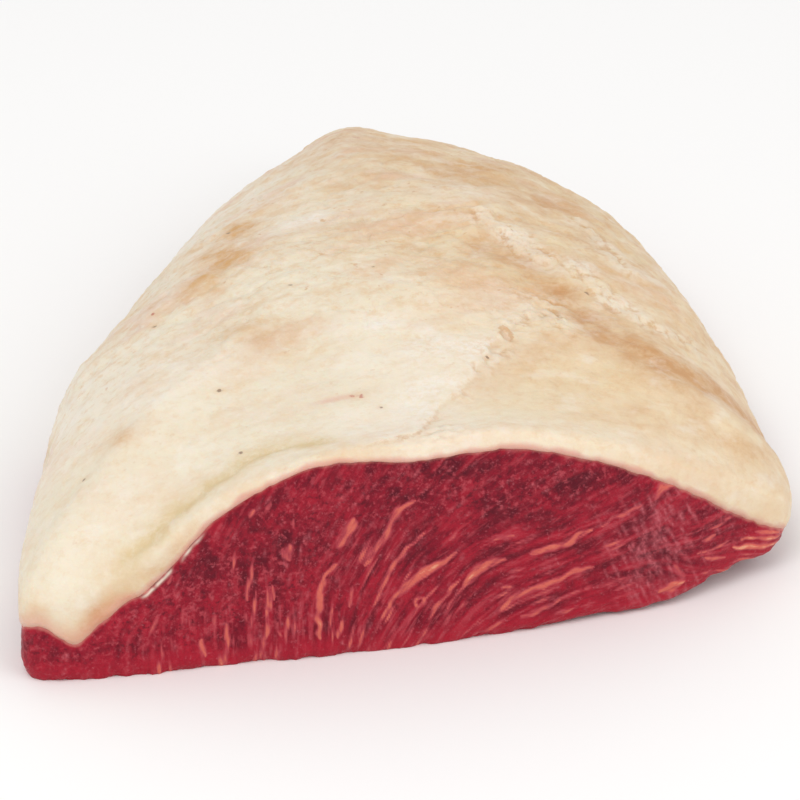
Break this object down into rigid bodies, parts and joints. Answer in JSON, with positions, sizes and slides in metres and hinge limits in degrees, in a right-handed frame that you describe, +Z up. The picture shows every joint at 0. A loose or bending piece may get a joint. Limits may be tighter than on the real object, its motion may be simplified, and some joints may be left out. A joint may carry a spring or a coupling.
{
  "type": "raw picanha",
  "caption": "Whole raw beef rump cap: a low triangular dome of dark red lean under a thick cream fat cap, with a straight knife cut at its wide end.",
  "frame": {"origin": "under the middle of the bounding box, in the plane the meat lies on", "axes": "+Z up through the fat cap, -Y out of the knife cut at the wide end, +Y towards the blunt tip, +X to the right as the cut is looked at"},
  "size_m": [0.1924, 0.2472, 0.0569],
  "materials": {
    "lean": "moist raw beef, dark red with lighter marbling",
    "fat": "moist raw beef fat, cream with tan mottling"
  },
  "bodies": {
    "root": {"lean": "lean", "fat_cap": "fat"}
  },
  "joints": []
}
